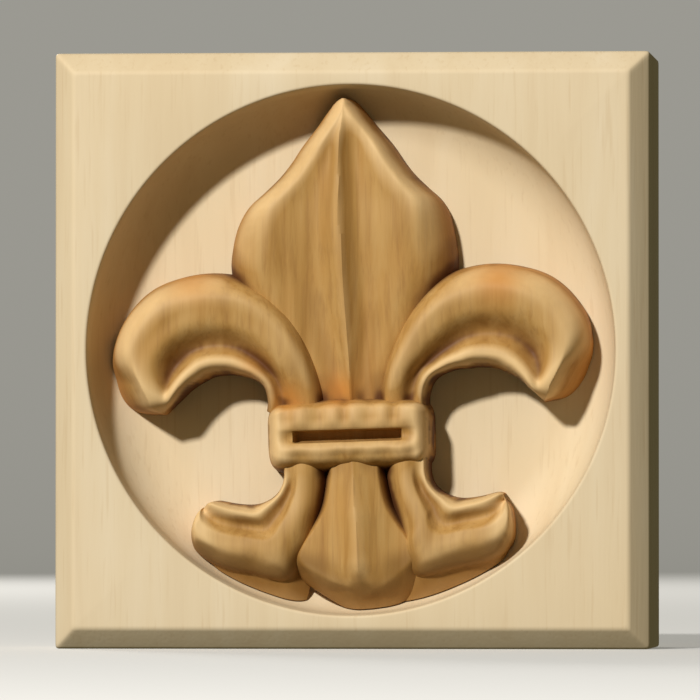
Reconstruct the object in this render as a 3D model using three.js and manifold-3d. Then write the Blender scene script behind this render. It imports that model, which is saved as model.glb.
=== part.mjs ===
// A rosette block for the corner of a door or window surround, standing on its underside.
// Millimetres. X runs to the right, Z runs up and the carved face looks along -Y.
// The origin is on the floor, under the middle of the block.
// Two pieces: the square block with its turned dish, and the carved fleur-de-lis glued into the dish.

import * as THREE from 'three';
import { ConvexGeometry } from 'three/addons/geometries/ConvexGeometry.js';
import { mergeVertices } from 'three/addons/utils/BufferGeometryUtils.js';
import Module from 'manifold-3d';

const wasm = await Module();
wasm.setup();

// Block
const BLOCK_SIDE = 88.9;
const BLOCK_THICKNESS = 28.5;
const FRONT_BEVEL = 3;

// Dish turned into the face
const DISH_RIM_RADIUS = 39.5;
const DISH_DEPTH = 10.5;
const COVE_RADIUS = 7.5;
const WALL_DRAFT = 0.3;
const DISH_SEGMENTS = 96;
const ROOM_OUT = 5;
const COVE_STEPS = 7;

// How the ornament sits in the dish: leaning a little to the left, hardly off centre
const LEAN = THREE.MathUtils.degToRad(1.8);
const SHIFT_RIGHT = -0.1;
const SHIFT_UP = -0.3;
const FIT_GAP = 0.3;
const SPARE_BELOW_FLOOR = 2;

// Shape of every carved edge, and the least width a division may meet
const ROLL_POWER = 2.2;
const LEAF_ROLL_SHARE = 0.62;
const SLIVER = 0.01;

// Heights of the relief above the dish floor
const ARM_HEIGHT = 10.2;
const COLLAR_HEIGHT = 10.4;
const SCROLL_HEIGHT = 9.6;

// Central petal: half its width against the height up the ornament, from the collar to the tip.
// Its body, its rib above the body and its valleys below the body, all in millimetres, follow.
const PETAL_HALF_WIDTH = [
  [-10, 7], [-3, 8.5], [4, 13], [10, 17.4], [13, 18.1], [16, 17.8], [19.5, 16.8], [22.3, 15.1],
  [24.4, 12.7], [26.5, 10.4], [28.6, 8.6], [31, 6.9], [34.2, 4.3], [36.4, 2.3], [38.2, 0],
];
const PETAL_CREST_LINE = [
  [-10, 0.55], [-4, 0.68], [2, 0.79], [9, 0.9], [18, 1], [25, 0.99], [31, 0.93], [38.2, 0.78],
];
const PETAL = { height: 9.4, roll: 3.4, ribHeight: 1.5, ribReach: 4.6, valley: 1.3 };

// Arms: bands that turn about the middle of their hollow, so their edges are radii against the angle.
// Places across an arm are shares of its width, counted from the outer edge.
const ARM_CENTRE = [19.5, -6];
const ARM_OUTER_RADIUS = [
  [-14, 9.6], [-8, 13.4], [0, 15.8], [12, 17.4], [24, 18.3], [40, 19.1], [57, 19.5], [72, 19.1],
  [90, 18.6], [109, 17.9], [128, 16.7], [149, 15.6], [167, 15.5], [184, 16.1], [200, 16.6],
];
const ARM_INNER_RADIUS = [
  [-14, 9.2], [-8, 7.8], [0, 6.5], [12, 5.4], [24, 4.6], [40, 3.9], [57, 3.6], [72, 3.4],
  [90, 3.3], [109, 3.5], [128, 3.9], [149, 4.9], [167, 5.9], [184, 6.3], [200, 6.5],
];
const ARM_CREST_PLACE = [
  [-14, 0.62], [0, 0.66], [10, 0.6], [20, 0.48], [30, 0.36],
  [42, 0.29], [70, 0.27], [150, 0.26], [200, 0.26],
];
const ARM_LIP_PLACE = 0.86;
const ARM_CHANNEL_BEND = 1.6;
const ARM_CHANNEL_DEPTH = [
  [-14, 0], [-2, 0.1], [10, 1.1], [22, 2.2], [35, 3.1], [60, 3.4], [150, 3], [200, 2],
];
const ARM_LIP_DROP = [[-14, 0.4], [0, 0.3], [14, 0.8], [30, 1.2], [60, 1.5], [120, 1.5], [200, 1.2]];
const ARM_CREST_HEIGHT = [[-14, 0.45], [-8, 0.82], [0, 0.96], [20, 1], [120, 1], [160, 0.95], [200, 0.88]];
const ARM_ROOT_ANGLE = 200;
const ARM_END_ANGLE = -14;

// Collar: a band with two rolls and a slot between them
const COLLAR_HALF_LENGTH = 12.9;
const COLLAR_HALF_WIDTH = 5;
const COLLAR_UP = -12.4;
const COLLAR_CORNER_POWER = 5;
const COLLAR_EDGE_ROLL = 3;
const COLLAR_DIP = 0.7;
const SLOT_LENGTH = 16.3;
const SLOT_WIDTH = 1.3;
const SLOT_DEPTH = 4.5;

// Tail: a kite with a ridge down its middle
const TAIL_HALF_WIDTH = [
  [-38.4, 0], [-37, 4], [-35.3, 6.8], [-33, 9.3], [-30.8, 10.6],
  [-28.8, 9.9], [-26, 7.7], [-23, 6], [-19, 5.2], [-15, 5],
];
const TAIL_CREST_LINE = [[-38.4, 0.8], [-35.5, 0.93], [-30, 1], [-20, 0.97], [-15, 0.9]];
const TAIL = { height: 8.2, roll: 3, ribHeight: 1.7, ribReach: 4.2, valley: 0 };

// Lower scrolls: the lower edge and the upper edge, point by point from the collar to the curled end.
// Below the crest a skirt slopes down to the wall of the dish.
const SCROLL_LOWER_EDGE = [
  [3.6, -15.5], [4, -19.4], [4.6, -22.9], [5.6, -26.3], [7, -31.4], [9.2, -38],
  [16.2, -35.6], [21, -33], [24.2, -30], [25.2, -26.9], [24.4, -24], [22.6, -22.2],
];
const SCROLL_UPPER_EDGE = [
  [9.8, -15.5], [9.9, -18.4], [10.9, -19.8], [12.3, -20.9], [13.9, -21.7], [15.4, -22],
  [16.9, -22.1], [18.5, -21.9], [19.9, -21.6], [21, -21.4], [21.9, -21.6], [22.6, -22.2],
];
const SCROLL_CREST_PLACE = [
  [0, 0.3], [2, 0.28], [3.4, 0.3], [4.2, 0.4], [5, 0.52],
  [6, 0.5], [7, 0.44], [8, 0.34], [9, 0.26], [11, 0.3],
];
const SCROLL_SKIRT_HEIGHT = [[0, 0], [3.6, 0], [4.6, 4.4], [5, 5.4], [7, 5.2], [7.8, 3], [8.6, 0], [11, 0]];
const SCROLL_SKIRT_REACH = 0.5;
const SCROLL_SKIRT_FALL = 2.4;
const SCROLL_SKIRT_TOP = 5.4;
const SCROLL_LIP_PLACE = 0.85;
const SCROLL_HOLLOW_DROP = 1.9;
const SCROLL_UPPER_DROP = 1.4;
const SCROLL_CREST_LINE = [[0, 0.92], [2, 0.93], [6, 1], [9, 1], [10, 0.9], [10.6, 0.75], [11, 0.5]];

const FACE_Y = -BLOCK_THICKNESS / 2;
const FLOOR_Y = FACE_Y + DISH_DEPTH;
const MIDDLE_Z = BLOCK_SIDE / 2;

// The value at x of a smooth curve through knots [x, y], with the slope at each knot set by its neighbours.
function smooth(knots, x) {
  const last = knots.length - 1;
  const held = THREE.MathUtils.clamp(x, knots[0][0], knots[last][0]);
  let i = 0;
  while (i < last - 1 && held > knots[i + 1][0]) i += 1;
  const slopeAt = (k) => {
    const before = knots[Math.max(k - 1, 0)];
    const after = knots[Math.min(k + 1, last)];
    return (after[1] - before[1]) / (after[0] - before[0]);
  };
  const [x0, y0] = knots[i];
  const [x1, y1] = knots[i + 1];
  const span = x1 - x0;
  const t = (held - x0) / span;
  const rise = y1 - y0;
  const bend0 = slopeAt(i) * span - rise;
  const bend1 = rise - slopeAt(i + 1) * span;
  return y0 + rise * t + t * (1 - t) * (bend0 * (1 - t) + bend1 * t);
}

// A list of points as two smooth curves of the point's number.
function smoothPath(points, t) {
  return [0, 1].map((axis) => smooth(points.map((point, i) => [i, point[axis]]), t));
}

// From 0 to 1 as x goes from a to b, with level ends.
function ease(x, a, b) {
  const t = THREE.MathUtils.clamp((x - a) / (b - a), 0, 1);
  return t * t * (3 - 2 * t);
}

// A carved edge: steep at the foot and rolling over to level at the full reach, as a share of the height.
function edgeRoll(distance, reach) {
  const t = THREE.MathUtils.clamp(distance / reach, 0, 1);
  return (1 - (1 - t) ** ROLL_POWER) ** (1 / ROLL_POWER);
}

// A point of the ornament, x to its right, w up and h above the dish floor, in the block's frame.
function place([x, w], h) {
  const right = x * Math.cos(LEAN) - w * Math.sin(LEAN) + SHIFT_RIGHT;
  const up = x * Math.sin(LEAN) + w * Math.cos(LEAN) + SHIFT_UP;
  return [right, FLOOR_Y - h, MIDDLE_Z + up];
}

// A manifold solid from a closed three.js geometry, with its faces pointing out.
function solidOf(geometry) {
  const bare = geometry.clone();
  bare.deleteAttribute('normal');
  bare.deleteAttribute('uv');
  const merged = mergeVertices(bare, 1e-4);
  const position = merged.attributes.position;
  const corners = [];
  let volume = 0;
  const [a, b, c] = [new THREE.Vector3(), new THREE.Vector3(), new THREE.Vector3()];
  for (let i = 0; i < merged.index.count; i += 3) {
    const triangle = [0, 1, 2].map((k) => merged.index.getX(i + k));
    if (new Set(triangle).size < 3) continue;
    [a, b, c].forEach((vertex, k) => vertex.fromBufferAttribute(position, triangle[k]));
    volume += a.dot(b.cross(c));
    corners.push(triangle);
  }
  const triVerts = new Uint32Array(corners.flatMap((t) => (volume > 0 ? t : [t[0], t[2], t[1]])));
  return new wasm.Manifold(new wasm.Mesh({ numProp: 3, vertProperties: position.array, triVerts }));
}

// A three.js geometry from a manifold solid.
function geometryOf(solid) {
  const mesh = solid.getMesh();
  const geometry = new THREE.BufferGeometry();
  geometry.setAttribute('position', new THREE.BufferAttribute(mesh.vertProperties, 3));
  geometry.setIndex(new THREE.BufferAttribute(mesh.triVerts, 1));
  geometry.computeVertexNormals();
  return geometry;
}

// A closed skin over rings of points: quads from ring to ring, and a fan over the first and the last ring.
function skin(rings) {
  const size = rings[0].length;
  const positions = rings.flat(2);
  const index = [];
  for (let r = 0; r < rings.length - 1; r += 1) {
    for (let k = 0; k < size; k += 1) {
      const [here, next] = [r * size + k, r * size + ((k + 1) % size)];
      index.push(here, next, next + size, here, next + size, here + size);
    }
  }
  [0, rings.length - 1].forEach((r) => {
    const ring = rings[r];
    const hub = [0, 1, 2].map((axis) => (ring[size - 1][axis] + ring[size - 2][axis]) / 2);
    positions.push(...hub);
    const centre = positions.length / 3 - 1;
    for (let k = 0; k < size; k += 1) {
      const [here, next] = [r * size + k, r * size + ((k + 1) % size)];
      index.push(...(r === 0 ? [centre, next, here] : [centre, here, next]));
    }
  });
  const geometry = new THREE.BufferGeometry();
  geometry.setAttribute('position', new THREE.Float32BufferAttribute(positions, 3));
  geometry.setIndex(index);
  return geometry;
}

// A lobe of the relief: at each station t a section runs from one edge to the other,
// with height(s, t) above the floor. Its sides reach below the floor, where they are trimmed flat later.
function lobe(stations, across, edges, height) {
  const rings = stations.map((t) => {
    const [from, to] = edges(t);
    const between = (s) => [0, 1].map((axis) => THREE.MathUtils.lerp(from[axis], to[axis], s));
    const top = across.map((s) => place(between(s), height(s, t)));
    return [...top, place(to, -SPARE_BELOW_FLOOR), place(from, -SPARE_BELOW_FLOOR)];
  });
  return solidOf(skin(rings));
}

// Numbers from a to b in equal steps, bent by a power: they crowd towards b when it is below 1.
function steps(a, b, count, power = 1) {
  return Array.from({ length: count + 1 }, (_, i) => a + (b - a) * (i / count) ** power);
}

// Shares from 0 to 1 that crowd towards both ends, where the edges roll over.
function crowdedShares(count) {
  return Array.from({ length: count + 1 }, (_, i) => (1 - Math.cos((Math.PI * i) / count)) / 2);
}

// The dish, or the space inside it, as a turned solid: gap shrinks it everywhere but at its floor.
function dishSolid(gap, reachOut) {
  const rim = DISH_RIM_RADIUS - gap;
  const wall = rim - WALL_DRAFT;
  const radius = COVE_RADIUS;
  const cove = Array.from({ length: COVE_STEPS + 1 }, (_, i) => {
    const turn = (Math.PI / 2) * (i / COVE_STEPS);
    const height = radius * (1 - Math.cos(turn));
    return new THREE.Vector2(wall - radius * (1 - Math.sin(turn)), FLOOR_Y - height);
  });
  const slope = WALL_DRAFT / (DISH_DEPTH - radius);
  const profile = [
    new THREE.Vector2(0, FLOOR_Y),
    ...cove,
    new THREE.Vector2(rim, FACE_Y),
    new THREE.Vector2(rim + slope * reachOut, FACE_Y - reachOut),
    new THREE.Vector2(0, FACE_Y - reachOut),
  ];
  const geometry = new THREE.LatheGeometry(profile, DISH_SEGMENTS);
  geometry.translate(0, 0, MIDDLE_Z);
  return solidOf(geometry);
}

// The square block: its back square, the square behind the bevel and the smaller square of the face.
function blockSolid() {
  const half = BLOCK_SIDE / 2;
  const squares = [[half, -FACE_Y], [half, FACE_Y + FRONT_BEVEL], [half - FRONT_BEVEL, FACE_Y]];
  const corners = squares.flatMap(([reach, y]) => [-1, 1].flatMap((sideX) => [-1, 1].map(
    (sideZ) => new THREE.Vector3(sideX * reach, y, MIDDLE_Z + sideZ * reach),
  )));
  return solidOf(new ConvexGeometry(corners));
}

// Height across the petal or the tail: an edge roll, a valley inside it and a rib down the middle.
// All three fade out where the leaf narrows to its tip.
function leafHeight(x, halfWidth, crest, leaf) {
  const fromEdge = halfWidth - Math.abs(x);
  const reach = Math.min(leaf.roll, LEAF_ROLL_SHARE * halfWidth + SLIVER);
  const inner = Math.max(halfWidth - leaf.roll, SLIVER);
  const valley = leaf.valley * ease(halfWidth, 2, 9) * (1 - ease(Math.abs(x), 0.25 * inner, inner));
  const besideRib = Math.max(1 - Math.abs(x) / leaf.ribReach, 0);
  const rib = leaf.ribHeight * ease(halfWidth, 0.5, 7) * besideRib ** 1.5 * Math.min(fromEdge / reach, 1);
  return Math.max(crest * edgeRoll(fromEdge, reach) - valley + rib, 0);
}

// A leaf lobe: halfWidth and crestLine are knots against the height up the ornament.
function leafSolid(stations, across, halfWidth, crestLine, leaf) {
  const edges = (w) => [-1, 1].map((side) => [side * smooth(halfWidth, w), w]);
  const height = (s, w) => {
    const half = smooth(halfWidth, w);
    return half > 0 ? leafHeight((2 * s - 1) * half, half, leaf.height * smooth(crestLine, w), leaf) : 0;
  };
  return lobe(stations, crowdedShares(across), edges, height);
}

// Height across an arm: up the outer wall to the crest, down into the channel and up to the inner lip.
function armHeight(s, angle) {
  const crestPlace = smooth(ARM_CREST_PLACE, angle);
  const crest = ARM_HEIGHT * smooth(ARM_CREST_HEIGHT, angle);
  const lip = crest - smooth(ARM_LIP_DROP, angle);
  if (s <= crestPlace) {
    const rolled = edgeRoll(s, crestPlace);
    const sloped = (s / crestPlace) ** 0.85;
    return crest * THREE.MathUtils.lerp(sloped, rolled, ease(crestPlace, 0.45, 0.28));
  }
  if (s >= ARM_LIP_PLACE) return lip * edgeRoll(1 - s, 1 - ARM_LIP_PLACE);
  const t = (s - crestPlace) / (ARM_LIP_PLACE - crestPlace);
  const channel = smooth(ARM_CHANNEL_DEPTH, angle) * Math.sin(Math.PI * t ** ARM_CHANNEL_BEND) ** 1.3;
  return THREE.MathUtils.lerp(crest, lip, ease(t, 0, 1)) - channel;
}

function armSolid(side) {
  const point = (radius, angle) => {
    const turn = THREE.MathUtils.degToRad(angle);
    return [side * (ARM_CENTRE[0] + radius * Math.cos(turn)), ARM_CENTRE[1] + radius * Math.sin(turn)];
  };
  const radii = [ARM_OUTER_RADIUS, ARM_INNER_RADIUS];
  const edges = (angle) => radii.map((knots) => point(smooth(knots, angle), angle));
  const across = [0, 0.04, 0.1, 0.17, 0.25, 0.35, 0.44, 0.52, 0.6, 0.68, 0.77, 0.87, 0.93, 0.97, 1];
  return lobe(steps(ARM_ROOT_ANGLE, ARM_END_ANGLE, 30, 0.92), across, edges, armHeight);
}

// The collar: rounded at its corners, with a shallow dip along its middle where the slot is cut.
function collarSolid() {
  const halfWidth = (x) => {
    const past = Math.min(Math.abs(x / COLLAR_HALF_LENGTH), 1) ** COLLAR_CORNER_POWER;
    return COLLAR_HALF_WIDTH * (1 - past) ** (1 / COLLAR_CORNER_POWER);
  };
  const edges = (x) => [[x, COLLAR_UP - halfWidth(x)], [x, COLLAR_UP + halfWidth(x)]];
  const height = (s, x) => {
    const half = halfWidth(x);
    const fromMiddle = Math.abs(2 * s - 1) * half;
    const toEnd = COLLAR_HALF_LENGTH - Math.abs(x);
    const dip = COLLAR_DIP * (1 - ease(fromMiddle, 0.6, 2.1)) * ease(toEnd, 3, 6);
    const reach = Math.max(Math.min(COLLAR_EDGE_ROLL, half), SLIVER);
    const roll = edgeRoll(half - fromMiddle, reach) * edgeRoll(toEnd, COLLAR_EDGE_ROLL);
    return COLLAR_HEIGHT * roll - dip * roll;
  };
  const stations = crowdedShares(20).map((share) => COLLAR_HALF_LENGTH * (2 * share - 1));
  return lobe(stations, crowdedShares(16), edges, height);
}

// The cutter for the collar's slot.
function slotSolid() {
  const top = COLLAR_HEIGHT + SPARE_BELOW_FLOOR;
  const bottom = COLLAR_HEIGHT - SLOT_DEPTH;
  const outline = [[-1, -1], [1, -1], [1, 1], [-1, 1]];
  const corners = [bottom, top].flatMap((h) => outline.map(([sideX, sideW]) => new THREE.Vector3(
    ...place([(sideX * SLOT_LENGTH) / 2, COLLAR_UP + (sideW * SLOT_WIDTH) / 2], h),
  )));
  return solidOf(new ConvexGeometry(corners));
}

// Height across a scroll: the lower wall, the crest, a hollow and the low upper edge.
function scrollHeight(s, t) {
  const crest = SCROLL_HEIGHT * smooth(SCROLL_CREST_LINE, t);
  const upper = crest - SCROLL_UPPER_DROP;
  if (t >= 11) return 0;
  const crestPlace = smooth(SCROLL_CREST_PLACE, t);
  const skirt = Math.max(smooth(SCROLL_SKIRT_HEIGHT, t), 0);
  if (s <= crestPlace) {
    const skirted = skirt / SCROLL_SKIRT_TOP;
    const start = SCROLL_SKIRT_REACH * crestPlace * skirted;
    const fall = SCROLL_SKIRT_FALL * skirted * Math.max(1 - s / Math.max(start, SLIVER), 0);
    return skirt - fall + (crest - skirt) * edgeRoll(s - start, crestPlace - start);
  }
  if (s >= SCROLL_LIP_PLACE) return upper * edgeRoll(1 - s, 1 - SCROLL_LIP_PLACE);
  const along = (s - crestPlace) / (SCROLL_LIP_PLACE - crestPlace);
  const hollow = SCROLL_HOLLOW_DROP * Math.sin(Math.PI * along ** 0.8) ** 1.5;
  return THREE.MathUtils.lerp(crest, upper, ease(along, 0, 1)) - hollow;
}

function scrollSolid(side) {
  const sided = ([x, w]) => [side * x, w];
  const edges = (t) => [sided(smoothPath(SCROLL_LOWER_EDGE, t)), sided(smoothPath(SCROLL_UPPER_EDGE, t))];
  const across = [0, 0.05, 0.12, 0.2, 0.28, 0.4, 0.52, 0.64, 0.76, 0.86, 0.93, 0.97, 1];
  return lobe(steps(0, 11, 20), across, edges, scrollHeight);
}

function piece(name, solid, color, roughness) {
  const material = new THREE.MeshStandardMaterial({ color, roughness, metalness: 0 });
  const mesh = new THREE.Mesh(geometryOf(solid), material);
  mesh.name = name;
  return mesh;
}

const block = blockSolid().subtract(dishSolid(0, ROOM_OUT));
const sides = [-1, 1];
const petal = leafSolid(steps(-10, 38.2, 26, 0.8), 20, PETAL_HALF_WIDTH, PETAL_CREST_LINE, PETAL);
const tail = leafSolid(steps(-15, -38.4, 14, 0.85), 14, TAIL_HALF_WIDTH, TAIL_CREST_LINE, TAIL);
const ornament = [petal, tail, ...sides.map(armSolid), ...sides.map(scrollSolid), collarSolid()]
  .reduce((joined, next) => joined.add(next))
  .subtract(slotSolid())
  .intersect(dishSolid(FIT_GAP, ROOM_OUT));

const model = new THREE.Group();
model.add(
  piece('rosette_block', block, 0xddc9a0, 0.6),
  piece('fleur_de_lis', ornament, 0xbe965a, 0.5),
);

export default model;
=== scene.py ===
# %% [markdown]
# # A rosette block with a carved fleur-de-lis
# A rosette block is a square ornamental block used in joinery. This one is pale maple with a
# round dish turned into its face. A carved fleur-de-lis, toned honey brown, is glued into the dish.
# The lesson builds both pieces as surfaces worked out with numpy, finishes them with procedural
# wood, and lights them the way a catalogue would: one small lamp from the upper left.
#
# The first step loads the imported model. It is a fixed frame: every size below agrees with it,
# and its solids are kept, hidden once the finished pieces stand in for them.

# %% Load the frame
import math

import bmesh
import bpy
import numpy as np
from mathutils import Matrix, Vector


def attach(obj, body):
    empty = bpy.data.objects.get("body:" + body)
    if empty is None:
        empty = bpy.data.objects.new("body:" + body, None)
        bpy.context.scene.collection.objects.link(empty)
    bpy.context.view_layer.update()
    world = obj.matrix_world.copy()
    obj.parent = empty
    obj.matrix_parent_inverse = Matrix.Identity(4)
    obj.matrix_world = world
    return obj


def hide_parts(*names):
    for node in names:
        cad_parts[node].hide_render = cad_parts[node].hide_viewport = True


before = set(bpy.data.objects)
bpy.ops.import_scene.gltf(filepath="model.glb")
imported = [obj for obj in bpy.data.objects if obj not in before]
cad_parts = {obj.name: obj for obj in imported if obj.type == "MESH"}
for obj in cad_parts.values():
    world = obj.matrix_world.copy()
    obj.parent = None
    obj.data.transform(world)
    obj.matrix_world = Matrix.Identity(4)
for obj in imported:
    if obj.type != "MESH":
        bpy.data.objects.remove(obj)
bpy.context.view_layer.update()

print("pieces in the frame:", sorted(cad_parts))

# %% [markdown]
# ## Sizes
# All sizes are in millimetres, and they are turned into metres only when a mesh is made.
# The ornament has its own axes: x to the right, w up and h out from the floor of the dish.
# It leans a little to the left and sits a hair off centre, as a thing glued in by hand does.

# %% Sizes of the block, the dish and the ornament's seat
MM = 0.001
SIDE = 88.9
THICKNESS = 28.5
BEVEL = 3.0
RIM_RADIUS = 39.5
DISH_DEPTH = 10.5
COVE_RADIUS = 7.5
WALL_DRAFT = 0.3
FACE_Y = -THICKNESS / 2
FLOOR_Y = FACE_Y + DISH_DEPTH
MIDDLE_Z = SIDE / 2
LEAN = math.radians(1.8)
SHIFT_RIGHT, SHIFT_UP = -0.1, -0.3
FIT_GAP = 0.3
print(f"face at y {FACE_Y}, dish floor at y {FLOOR_Y}")

# %% [markdown]
# ## Curves through a few knots
# A carver works from a handful of marks on the wood and sweeps a smooth line through them.
# The helper below does the same: it reads a smooth curve through knots for a whole array at once.
# Two more helpers give the two shapes that every carved form here is made of, a soft step and
# a rolled edge.

# %% Helpers for smooth curves
def smooth(knots, x):
    """The value at x of a curve through knots (x, y). Between two knots it is the straight line plus
    t(1-t) times a bend, where the bend at each knot makes the slope the one from its two neighbours."""
    xs, ys = np.array(knots, float).T
    slopes = np.gradient(ys)
    slopes[1:-1] = (ys[2:] - ys[:-2]) / (xs[2:] - xs[:-2])
    slopes[[0, -1]] = np.diff(ys)[[0, -1]] / np.diff(xs)[[0, -1]]
    x = np.clip(x, xs[0], xs[-1])
    i = np.clip(np.searchsorted(xs, x, side="right") - 1, 0, len(xs) - 2)
    span, rise = xs[i + 1] - xs[i], ys[i + 1] - ys[i]
    t = (x - xs[i]) / span
    bend = (slopes[i] * span - rise) * (1 - t) + (rise - slopes[i + 1] * span) * t
    return ys[i] + rise * t + t * (1 - t) * bend


def ease(x, a, b):
    """From 0 to 1 as x goes from a to b, with level ends: 3 t squared minus 2 t cubed."""
    t = np.clip((x - a) / (b - a), 0, 1)
    return t * t * (3 - 2 * t)


def edge_roll(distance, reach, power=2.2):
    """A carved edge: upright at the foot and level at its full reach, along a rounded quarter whose
    two coordinates, each raised to the power, add up to one."""
    t = np.clip(distance / np.maximum(reach, 0.01), 0, 1)
    return (1 - (1 - t) ** power) ** (1 / power)


print("a rolled edge at 0, a half and its full reach:", edge_roll(np.array([0, 0.5, 1.0]), 1.0).round(2))

# %% [markdown]
# ## Unevenness of hand work
# Nothing cut by hand is perfectly even. A sum of a few long waves in different directions, with
# fixed phases, gives the same gentle unevenness on every run and needs no random numbers.

# %% A gentle unevenness
WAVES = [(1.0, 0.3, 0.4), (-0.5, 0.9, 2.1), (0.7, -1.1, 4.0), (1.3, 0.9, 5.2), (-1.6, 0.5, 1.3)]
WAVE_SUM = 2.1


def uneven(x, w, size):
    """Five sines of x and w added up, each with its own direction and phase, and each weaker than the
    one before. The sum is scaled to lie roughly between -1 and 1."""
    total = 0
    for k, (along, across, phase) in enumerate(WAVES):
        total = total + np.sin((along * x + across * w) * 2 * math.pi / size + phase) / (k + 1.5)
    return total / WAVE_SUM


print("unevenness at the middle:", round(float(uneven(0.0, 0.0, 9.0)), 3))

# %% [markdown]
# ## From arrays to a mesh
# Every piece starts as a stack of rings: row after row of points with the same count. The helper
# joins neighbouring rings with four-sided faces and closes both ends with a fan round a middle point.
# Where a ring shrinks to a point, its doubles are merged, so the skin stays closed.

# %% Rings into a closed mesh
def ring_mesh(name, rings):
    """A closed skin over an array of rings, (ring, point, xyz) in mm: a quad between each pair of
    neighbours on two neighbouring rings, and a fan from the mean of the last two points at each end."""
    count, size = rings.shape[:2]
    hubs = rings[[0, -1]][:, -2:].mean(1)
    points = np.vstack([rings.reshape(-1, 3), hubs]) * MM
    number = np.arange(count * size).reshape(count, size)
    after = np.roll(number, -1, axis=1)
    quads = np.stack([number[:-1], after[:-1], after[1:], number[1:]], axis=-1).reshape(-1, 4)
    first = np.stack([np.full(size, count * size), after[0], number[0]], axis=-1)
    last = np.stack([np.full(size, count * size + 1), number[-1], after[-1]], axis=-1)
    mesh = bpy.data.meshes.new(name)
    mesh.from_pydata(points.tolist(), [], quads.tolist() + first.tolist() + last.tolist())
    work = bmesh.new()
    work.from_mesh(mesh)
    bmesh.ops.remove_doubles(work, verts=work.verts, dist=1e-6)
    bmesh.ops.recalc_face_normals(work, faces=work.faces)
    work.to_mesh(mesh)
    work.free()
    piece = bpy.data.objects.new(name, mesh)
    bpy.context.scene.collection.objects.link(piece)
    return piece


def points_of(mesh):
    """The places of a mesh's vertices as one array, in mm."""
    places = np.empty(len(mesh.vertices) * 3, np.float32)
    mesh.vertices.foreach_get("co", places)
    return places.reshape(-1, 3).astype(float) / MM


def soften(piece, degrees):
    """Smooth shading, with a crisp line only where two faces meet at more than the angle."""
    piece.data.shade_smooth()
    piece.data.set_sharp_from_angle(angle=math.radians(degrees))


print("mesh helpers ready")

# %% [markdown]
# ## The block
# The real block is sawn square, its front edge is planed to a 45 degree bevel, and the dish is
# turned on a lathe. A circle and a square are both rounded squares, so one family of loops can run
# from the middle of the dish, over the rim and the bevel, round to the middle of the back. Each
# loop needs three numbers: half its side, its corner radius and its depth.

# %% Profile of the block from the middle of the dish to the middle of the back
def arc(centre, radius, start, end, steps):
    """Points on a circle's arc from one angle to another, as (half side, y)."""
    turn = np.radians(np.linspace(start, end, steps))
    return np.stack([centre[0] + radius * np.cos(turn), centre[1] + radius * np.sin(turn)], axis=-1)


RIM_SOFTNESS = 0.45
BEVEL_SOFTNESS = 0.5
EDGE_SOFTNESS = 0.35


def rounded(corner, before, after, radius, steps=7):
    """A corner between two straight runs, rounded: a curve from a point before it to a point after it,
    with the corner itself as the handle of a quadratic curve."""
    corner, before, after = (np.array(p, float) for p in (corner, before, after))
    start = corner + (before - corner) / np.linalg.norm(before - corner) * radius
    end = corner + (after - corner) / np.linalg.norm(after - corner) * radius
    t = np.linspace(0, 1, steps)[:, None]
    return (1 - t) ** 2 * start + 2 * t * (1 - t) * corner + t * t * end


half = SIDE / 2
wall = RIM_RADIUS - WALL_DRAFT
cove_start = wall - COVE_RADIUS
cove_top = (wall, FLOOR_Y - COVE_RADIUS)
rim, face_edge = (RIM_RADIUS, FACE_Y), (half - BEVEL, FACE_Y)
bevel_edge, back_edge = (half, FACE_Y + BEVEL), (half, -FACE_Y)

FLOOR_LOOPS, COVE_LOOPS, BACK_LOOPS = 12, 30, 6

floor_out = np.linspace(0.4, cove_start - 1.5, FLOOR_LOOPS)
floor_run = np.stack([floor_out, np.full(FLOOR_LOOPS, FLOOR_Y)], axis=-1)
cove_run = arc((cove_start, FLOOR_Y - COVE_RADIUS), COVE_RADIUS, 90, 0, COVE_LOOPS)
rim_run = rounded(rim, cove_top, face_edge, RIM_SOFTNESS)
face_run = rounded(face_edge, rim, bevel_edge, BEVEL_SOFTNESS)
bevel_run = rounded(bevel_edge, face_edge, back_edge, BEVEL_SOFTNESS)
back_run = rounded(back_edge, bevel_edge, (0, -FACE_Y), EDGE_SOFTNESS)
inward = np.stack([np.linspace(half - 3, 2, BACK_LOOPS), np.full(BACK_LOOPS, -FACE_Y)], axis=-1)
profile = np.vstack([floor_run, cove_run, rim_run, face_run, bevel_run, back_run, inward])
print("profile points:", len(profile))

# %% [markdown]
# The corner radius of a loop equals half its side inside the dish, where the loop is a circle. It is
# half a millimetre on the face and the sides, where the loop is a square with eased corners, and on the
# back it grows into a share of the side, so that the loops close evenly. A ray at each angle meets the
# loop either on its straight side or on its corner arc. The rays crowd towards the four corners.

# %% The block as one grid of loops
def rounded_square(half_side, corner, turn):
    """How far a ray at an angle reaches inside a rounded square: the straight side gives half the side
    over the larger of sine and cosine, and the corner arc gives the root of a quadratic."""
    c, s = np.abs(np.cos(turn)), np.abs(np.sin(turn))
    straight = half_side / np.maximum(c, s)
    inner = half_side - corner
    root = np.maximum(corner**2 - inner**2 * (c - s) ** 2, 0)
    on_corner = np.minimum(c, s) * straight > inner
    return np.where(on_corner, inner * (c + s) + np.sqrt(root), straight)


ANGLES_IN_A_QUARTER = 88
CROWDING = 1.5
CORNER_RADIUS = 0.5
BACK_CORNER_SHARE = 0.4
BLOCK_CRISP_ANGLE = 40
lean_to_corner = np.linspace(-1, 1, ANGLES_IN_A_QUARTER, endpoint=False)
quarter = 45 + 45 * np.sign(lean_to_corner) * np.abs(lean_to_corner) ** CROWDING
turn = np.radians((quarter[None, :] + np.array([0, 90, 180, 270])[:, None]).ravel())

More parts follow.
